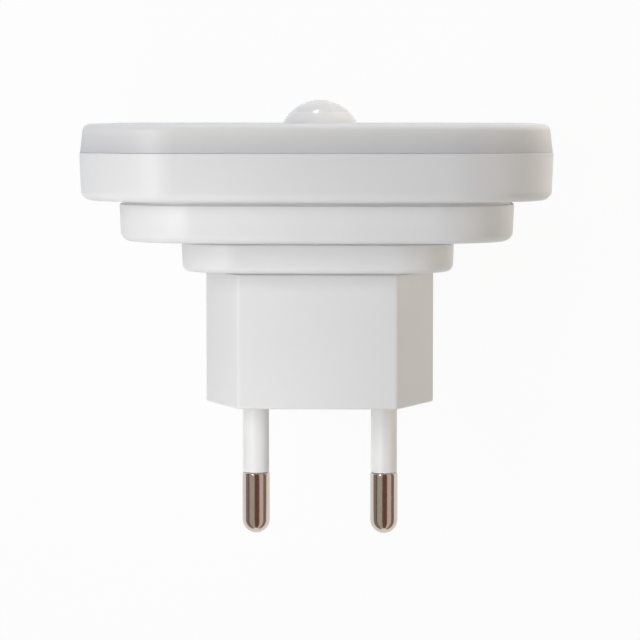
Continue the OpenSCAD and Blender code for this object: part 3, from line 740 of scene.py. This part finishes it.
# Finishes of the parts inside. Marks are boxes between two corners or posts along Y, painted over in turn.
tin = {"colour": "#C9CACB", "rough": 0.3, "metallic": 1}
tinned = {"colour": "#C9CACB", "second": "#BFC1C3", "relief": 0.3, "depth": 0.01, "metallic": 1}  # all tin
far = 50  # past everything, for a mark with no end on a side
drawnPvc = {"shader": {"IOR": 1.53}, "patch": 5, "rough": (0.32, 0.45), "grain": 0.3, "relief": 0.2,
            "depth": 0.01, "lay": (1, 0.1, 1)}
stripe = {"colour": "#A9AEB6"}
laminate = {"shader": {"IOR": 1.55}, "grain": 0.5, "relief": 0.25, "depth": 0.02}
insideFinishes = {
    # White ABS, moulded: plain satin, and solid enough to keep the lamps' light off the sensor
    "mouldedHolderAbs": {
        "nodes": ["lens_holder"], "shader": {"IOR": 1.53}, "colour": "#F1F1EE", "second": "#ECECE9",
        "patch": 6, "rough": (0.4, 0.5), "grain": 0.3, "relief": 0.2, "depth": 0.01},
    # Soft PVC drawn through a die: a satin sheath with faint lines along the wire
    "drawnBrownPvc": {"nodes": ["live_wire"], "colour": "#7B4A2C", "second": "#6F4226", **drawnPvc},
    "drawnBluePvc": {"nodes": ["neutral_wire"], "colour": "#2E5FA8", "second": "#28559A", **drawnPvc},
    # Glass cloth in epoxy under green solder lacquer: satin, with the 0.5 mm cloth just felt below it
    "lacqueredGreenLaminate": {
        "nodes": ["power_board"], **laminate, "colour": "#2E6B45", "second": "#29613E", "patch": 9,
        "rough": (0.28, 0.38), "tracks": {"colour": "#3F7E52", "size": 4.5, "gap": 0.3}},
    # The same laminate under white lacquer, which throws the lamps' light forward
    "lacqueredWhiteLaminate": {
        "nodes": ["led_board"], **laminate, "colour": "#F1F2F0", "second": "#EBECE9", "patch": 12,
        "rough": (0.3, 0.4), "tracks": {"colour": "#F6F7F5", "size": 7, "gap": 0.3}},
    # Polyester film wound up and potted in a moulded case: semi-gloss, with tinned leads
    "pottedFilmCase": {
        "nodes": ["dropper_capacitor"], "shader": {"IOR": 1.55}, "colour": "#C9A227", "second": "#BE9822",
        "patch": 7, "rough": (0.25, 0.36), "grain": 0.6, "relief": 0.2, "depth": 0.02,
        "marks": [({"low": (-far, -23, -far), "high": (far, -20.98, far)}, tin)]},
    # Drawn aluminium can in a shrunk black sleeve: glossy, bare at the end, with a pale stripe at one side
    "sleevedAluminiumCan": {
        "nodes": ["smoothing_capacitor", "timing_capacitors"], "shader": {"IOR": 1.54}, "colour": "#20232A",
        "second": "#1B1E25", "patch": 4, "rough": (0.2, 0.3), "grain": 0.5, "relief": 0.15, "depth": 0.01,
        "marks": [({"low": (-0.9, -20.5, 9.6), "high": (0.9, -12.2, far)}, stripe),
                  ({"low": (-far, -33, -far), "high": (-8.1, -27.2, -14)}, stripe),
                  ({"low": (8.1, -33, -far), "high": (far, -27.2, -14)}, stripe),
                  ({"centre": (0, 7.5), "radius": 2.2, "y": (-11.75, -11)}, tin),
                  ({"centre": (-6.5, -16.5), "radius": 1.5, "y": (-26.75, -26)}, tin),
                  ({"centre": (6.5, -16.5), "radius": 1.5, "y": (-26.75, -26)}, tin),
                  ({"low": (-far, -34, -far), "high": (far, -31.15, far)}, tin),
                  ({"low": (-far, -23, -far), "high": (far, -20.98, far)}, tin)]},
    # Wire-wound body dipped in cement coating: matt and a little lumpy, with painted value bands
    "dippedCementCoat": {
        "nodes": ["fusible_resistor"], "shader": {"IOR": 1.5}, "colour": "#5E7F8C", "second": "#567682",
        "patch": 3, "rough": (0.5, 0.65), "grain": 0.7, "relief": 0.35, "depth": 0.04,
        "marks": [({"low": (-far, -far, -far), "high": (-4.02, far, far)}, tin),
                  ({"low": (4.02, -far, -far), "high": (far, far, far)}, tin),
                  ({"low": (-2.9, -far, -far), "high": (-2.2, far, far)}, {"colour": "#6B3F22"}),
                  ({"low": (-1.7, -far, -far), "high": (-1, far, far)}, {"colour": "#1E1E20"}),
                  ({"low": (-0.5, -far, -far), "high": (0.2, far, far)}, {"colour": "#1E1E20"}),
                  ({"low": (2.1, -far, -far), "high": (2.8, far, far)}, {"colour": "#B8933F"})]},
    # Filled black epoxy, transfer moulded: matt and dusty, on tinned legs
    "mouldedBlackEpoxy": {
        "nodes": ["rectifier_bridge", "zener_diode", "control_chip", "driver_transistor"],
        "shader": {"IOR": 1.55}, **tinned, "patch": 2, "rough": (0.28, 0.34), "grain": 0.3,
        "marks": [({"low": (-10.85, -24.8, 1), "high": (-6.15, -22, 5)}, "body"),
                  ({"low": (7.5, -24.8, 1.25), "high": (10.1, -22, 5.55)}, "body"),
                  ({"low": (-4.95, -31.3, 16.55), "high": (4.95, -29.6, 20.45)}, "body"),
                  ({"low": (8.55, -31.3, -10.7), "high": (11.45, -30.1, -9.3)}, "body"),
                  ({"low": (7.4, -24.8, 4.5), "high": (10.2, -22, 5.1)},
                   {"colour": "#B9BABD", "metallic": 0}),
                  ({"centre": (-4.2, 17.3), "radius": 0.32, "y": (-30, -29)},
                   {"colour": "#4A4C52", "metallic": 0})],
        "body": {"colour": "#2A2B2F", "rough": 0.6, "metallic": 0}},
    # Resistive film fired on ceramic chips: a black glaze between tinned ends
    "firedFilmChip": {
        "nodes": ["bleeder_resistors", "chip_resistors"], "shader": {}, **tinned, "patch": 1,
        "rough": (0.3, 0.4), "grain": 0.25,
        "marks": [({"low": (at - 0.6, -far, -far), "high": (at + 0.6, far, far)}, "body")
                  for at in (-16, -13, 9, 12)],
        "body": {"colour": "#26282C", "rough": 0.35, "metallic": 0}},
    # Barium titanate pressed and fired: a matt tan block between tinned ends
    "firedCeramicChip": {
        "nodes": ["chip_capacitors"], "shader": {}, **tinned, "patch": 1, "rough": (0.3, 0.4),
        "grain": 0.25, "marks": [({"low": (13.9, -far, -far), "high": (15.1, far, far)}, "body")],
        "body": {"colour": "#B79A72", "rough": 0.55, "metallic": 0}},
    # Drawn brass pins with thin gold plating, in a black nylon strip
    "goldPlatedPins": {
        "nodes": ["link_pins"], "shader": {}, "colour": "#D8B45A", "second": "#CEA94F", "patch": 1.5,
        "rough": (0.18, 0.28), "grain": 0.2, "relief": 0.15, "depth": 0.005, "lay": (1, 0.1, 1),
        "metallic": 1,
        "marks": [({"low": (-far, -24.72, -far), "high": (far, -22.18, far)},
                   {"colour": "#232427", "rough": 0.45, "metallic": 0})]},
    # Drawn steel can with bright nickel: smooth, with faint drawing lines up its side
    "drawnNickelledSteel": {
        "nodes": ["motion_sensor"], "shader": {}, "colour": "#BBBDC0", "second": "#AFB1B5", "patch": 3,
        "rough": (0.2, 0.32), "grain": 0.3, "relief": 0.2, "depth": 0.006, "lay": (1, 0.08, 1),
        "metallic": 1},
    # Silicon with an interference coat: dark, mirror-smooth, with a brown to violet cast
    "coatedSiliconWindow": {
        "nodes": ["sensor_window"], "shader": {"IOR": 3.42}, "colour": "#4A3A34", "second": "#40323C",
        "patch": 2, "rough": (0.05, 0.1), "grain": 0.5, "relief": 0.05, "depth": 0.003},
    # Bright zinc on cold-headed steel: cool grey with a faint blue cast and turning marks round the head
    "zincPlatedSteel": {
        "nodes": ["board_screws", "plug_screws"], "shader": {}, "colour": "#C4C6C9", "second": "#B6BAC2",
        "patch": 1.5, "rough": (0.22, 0.35), "grain": 0.25, "relief": 0.25, "depth": 0.008, "metallic": 1},
}
for name, spec in insideFinishes.items():
    finish, tree, shader, spot = newFinish(name, {**spec["shader"], "Metallic": spec.get("metallic", 0)})
    giveSurface(tree, shader, spot, spec)
    if "tracks" in spec:
        # copper areas under the lacquer, split by narrow gaps and laid out in the board's plane
        tracks = spec["tracks"]
        turned = addNode(tree, "Mapping", {"Rotation": (math.pi / 2, 0, 0)}, {"Vector": spot})
        nearest, second = [addNode(tree, "TexVoronoi", {
            "voronoi_dimensions": "2D", "distance": "CHEBYCHEV", "feature": feature,
            "Scale": per(tracks["size"])}, {"Vector": turned.outputs["Vector"]}).outputs["Distance"]
            for feature in ("F1", "F2")]
        toNext = addNode(tree, "Math", {"operation": "SUBTRACT"}, {0: second, 1: nearest}).outputs[0]
        onCopper = addNode(tree, "Math", {"operation": "GREATER_THAN", 1: tracks["gap"] / tracks["size"]},
                           {0: toNext}).outputs[0]
        paintOver(tree, shader, onCopper, {"colour": tracks["colour"]})
    for place, coat in spec.get("marks", []):
        if "centre" in place:
            inPost = postMask(tree, spot, place["centre"], place["radius"])
            inSlice = boxMask(tree, spot, (-far, place["y"][0], -far), (far, place["y"][1], far))
            mask = addNode(tree, "Math", {"operation": "MULTIPLY"}, {0: inPost, 1: inSlice}).outputs[0]
        else:
            mask = boxMask(tree, spot, place["low"], place["high"])
        paintOver(tree, shader, mask, spec["body"] if coat == "body" else coat)
    wear(finish, *spec["nodes"])

# White lamp packages with a round well of silicone and yellow phosphor: glossy, the well a little domed
lampPack = {"colour": "#F3F1E6", "second": "#ECEADF", "patch": 3, "rough": (0.25, 0.35), "grain": 0.4,
            "relief": 0.15, "depth": 0.01, "well": {"colour": "#F0DC6A", "rough": 0.18}, "wellRadius": 1.15,
            "wellDistance": 19, "count": 6, "front": -33.15}
phosphorLamp, tree, shader, spot = newFinish("phosphorLampPackage", {"IOR": 1.5})
giveSurface(tree, shader, spot, lampPack)
along = addNode(tree, "SeparateXYZ", {}, {0: spot}).outputs
around = addNode(tree, "Math", {"operation": "ARCTAN2"}, {0: along[2], 1: along[0]}).outputs[0]
# the lamps stand halfway between the sixths of a turn, so each turn is folded onto the nearest one
part = math.pi / lampPack["count"]
across = lampPack["wellDistance"] * mm
folded = addNode(tree, "Math", {"operation": "WRAP", 1: 2 * part, 2: 0}, {0: around}).outputs[0]
aside = addNode(tree, "Math", {"operation": "SUBTRACT", 1: part}, {0: folded}).outputs[0]
aside = addNode(tree, "Math", {"operation": "MULTIPLY", 1: across}, {0: aside}).outputs[0]
beyond = addNode(tree, "Math", {"operation": "SUBTRACT", 1: across}, {0: fromAxis(tree, spot)}).outputs[0]
fromWell = addNode(tree, "CombineXYZ", {}, {0: aside, 1: beyond})
fromWell = addNode(tree, "VectorMath", {"operation": "LENGTH"}, {0: fromWell.outputs[0]}).outputs["Value"]
inWell = addNode(tree, "Math", {"operation": "LESS_THAN", 1: lampPack["wellRadius"] * mm},
                 {0: fromWell}).outputs[0]
onFront = addNode(tree, "Math", {"operation": "LESS_THAN", 1: lampPack["front"] * mm},
                  {0: along[1]}).outputs[0]
inWell = addNode(tree, "Math", {"operation": "MULTIPLY"}, {0: inWell, 1: onFront}).outputs[0]
paintOver(tree, shader, inWell, lampPack["well"])
wear(phosphorLamp, "leds")

# Cadmium sulphide sintered on a pale ceramic disc: a rust-red track that winds between silver combs
lightCell = {"colour": "#D9C7A6", "second": "#D0BD9A", "patch": 2, "rough": (0.3, 0.42), "grain": 0.3,
             "relief": 0.2, "depth": 0.01, "track": {"colour": "#A8502F", "rough": 0.5}, "trackPitch": 0.9,
             "trackRadius": 1.9, "trackFrom": 0.45, "centre": (0, 12.2), "leadsBehind": -33.35}
sinteredCell, tree, shader, spot = newFinish("sinteredLightCell", {"IOR": 1.6})
giveSurface(tree, shader, spot, lightCell)
# the wave texture turns once in a third of a unit, hence the pi over ten
wave = addNode(tree, "TexWave", {"Scale": math.pi / 10 * per(lightCell["trackPitch"])}, {"Vector": spot})
onTrack = addNode(tree, "Math", {"operation": "GREATER_THAN", 1: lightCell["trackFrom"]},
                  {0: wave.outputs["Fac"]}).outputs[0]
onDisc = postMask(tree, spot, lightCell["centre"], lightCell["trackRadius"])
onTrack = addNode(tree, "Math", {"operation": "MULTIPLY"}, {0: onTrack, 1: onDisc}).outputs[0]
paintOver(tree, shader, onTrack, lightCell["track"])
paintOver(tree, shader, boxMask(tree, spot, (-far, lightCell["leadsBehind"], -far), (far, 0, far)), tin)
wear(sinteredCell, "light_sensor")
print("inner finishes:", len(insideFinishes) + 2)

# Stage: a pale floor that the wide tier's side stands on, white to the eye but with the shadow kept.
stage = {"drop": 0.03, "size": 6000, "colour": "#F4F4F4", "lift": 0.94, "clearFrom": 60, "clearTo": 320,
         "ambient": 0.24}
pickNone()
floorLevel = -rearHousing["tier1"]["width"] / 2 - stage["drop"]
bpy.ops.mesh.primitive_plane_add(size=stage["size"] * mm, location=(0, 0, floorLevel * mm))
studioFloor = bpy.context.object
studioFloor.name = "studioFloor"


def seenDirectly(tree):
    # 1 for a ray from the eye, from a mirror or through glass, and 0 for light on its way
    path = addNode(tree, "LightPath")
    sight = path.outputs["Is Camera Ray"]
    for other in ("Is Glossy Ray", "Is Transmission Ray"):
        sight = addNode(tree, "Math", {"operation": "MAXIMUM"},
                        {0: sight, 1: path.outputs[other]}).outputs[0]
    return sight


floorFinish = bpy.data.materials.new("studioFloor")
tree = blankTree(floorFinish)
matt = addNode(tree, "BsdfDiffuse", {"Color": shade(stage["colour"])})
glow = addNode(tree, "Emission", {"Color": (1, 1, 1, 1), "Strength": 1})
# the shadow stays near the object, and further out the floor is as white as the air behind it
spot = addNode(tree, "TexCoord").outputs["Object"]
outward = addNode(tree, "VectorMath", {"operation": "LENGTH"}, {0: spot})
lift = addNode(tree, "MapRange", {
    "interpolation_type": "SMOOTHSTEP", "From Min": stage["clearFrom"] * mm,
    "From Max": stage["clearTo"] * mm, "To Min": stage["lift"], "To Max": 1},
    {"Value": outward.outputs["Value"]})
share = addNode(tree, "Math", {"operation": "MULTIPLY"}, {0: seenDirectly(tree), 1: lift.outputs["Result"]})
both = addNode(tree, "MixShader", {}, {0: share.outputs[0], 1: matt.outputs[0], 2: glow.outputs[0]})
addNode(tree, "OutputMaterial", {}, {"Surface": both.outputs[0]})
studioFloor.data.materials.append(floorFinish)

world = bpy.data.worlds.new("studioWorld")
bpy.context.scene.world = world
tree = blankTree(world)
strength = addNode(tree, "MapRange", {"To Min": stage["ambient"], "To Max": 1},
                   {"Value": seenDirectly(tree)})
air = addNode(tree, "Background", {"Color": (1, 1, 1, 1)}, {"Strength": strength.outputs["Result"]})
addNode(tree, "OutputWorld", {}, {"Surface": air.outputs[0]})

# Lamps: soft panels, each with the level that it gives a surface turned to it, and white where no colour
# is given. Only two are mirrored, so that the nickel and the dome show small highlights.
lamps = {
    "keyPanel": {"place": (103, -61, 179), "size": (24, 90), "level": 0.265, "mirrored": True},
    "lowPanel": {"place": (49, 22, 105), "size": (40, 40), "level": 0.175},
    "plugPanel": {"place": (25, 40, 60), "size": (30, 30), "level": 0.15},
    "sidePanel": {"place": (105, 22, 49), "size": (40, 40), "level": 0.05},
    "leftPanel": {"place": (95, -40, 110), "size": (40, 40), "level": 0.025},
    "fillPanel": {"place": (-260, -25, 150), "size": (110, 110), "level": 0.07},
    "warmPanel": {"place": (-299, -25, -26), "size": (110, 110), "level": 0.36, "colour": "#FFE8C4"},
    "frontPanel": {"place": (-100, -300, 60), "size": (120, 120), "level": 0.09},
    "nearPanel": {"place": (-70, -150, 20), "size": (60, 60), "level": 0.22, "colour": "#FFFAF2"},
    "coolPanel": {"place": (190, -300, -20), "size": (60, 60), "level": 0.1, "colour": "#BCCDFF"},
    "topPanel": {"place": (44, -380, -18), "size": (46, 40), "level": 0.12, "mirrored": True},
}
lampAim = Vector((0, -25, 0)) * mm
lampUp = Vector((0, -1, 0.01))  # turned a little, so that no lamp faces along it
for name, lamp in lamps.items():
    lampData = bpy.data.lights.new(name, "AREA")
    lampData.shape = "RECTANGLE"
    lampData.size, lampData.size_y = lamp["size"][0] * mm, lamp["size"][1] * mm
    place = Vector(lamp["place"]) * mm
    lampData.energy = lamp["level"] * (math.pi * (place - lampAim).length) ** 2
    lampData.color = shade(lamp.get("colour", "#FFFFFF"))[:3]
    panel = bpy.data.objects.new(name, lampData)
    panel.matrix_world = aimFrame(place, lampAim, lampUp)
    panel.visible_camera = False
    panel.visible_glossy = lamp.get("mirrored", False)
    bpy.context.scene.collection.objects.link(panel)

# Flags: dark cards round the pins' axis that only a mirror-like surface shows, so that the nickel has
# something to reflect. Each runs from one angle to another, from the camera's side towards +X.
flags = {
    "farFlag": {"from": -150, "to": -64, "colour": "#857A72"},
    "backFlag": {"from": -64, "to": -29, "colour": "#DCCAC4"},
    "centreFlag": {"from": -29, "to": 12, "colour": "#745048"},
    "openFlag": {"from": 12, "to": 57, "colour": "#B9B1A8"},
    "lineFlag": {"from": 57, "to": 66, "colour": "#5A564D"},
    "nearFlag": {"from": 66, "to": 122, "colour": "#8D857D"},
}
flagRing = {"radius": 460, "middle": 490, "length": 2020}
for name, flag in flags.items():
    card = bpy.data.materials.new(name)
    tree = blankTree(card)
    tone = addNode(tree, "Emission", {"Color": shade(flag["colour"]), "Strength": 1})
    addNode(tree, "OutputMaterial", {}, {"Surface": tone.outputs[0]})
    middle, half = math.radians(flag["from"] + flag["to"]) / 2, math.radians(flag["to"] - flag["from"]) / 2
    away = flagRing["radius"] * math.cos(half)
    pickNone()
    bpy.ops.mesh.primitive_plane_add(size=1, rotation=(0, middle, 0), location=(
        away * math.sin(middle) * mm, flagRing["middle"] * mm, away * math.cos(middle) * mm))
    sheet = bpy.context.object
    sheet.name = name
    sheet.scale = (2 * flagRing["radius"] * math.sin(half) * mm, flagRing["length"] * mm, 1)
    sheet.data.materials.append(card)
    sheet.visible_camera = sheet.visible_diffuse = sheet.visible_shadow = sheet.visible_transmission = False
print("stage and lamps: ready")
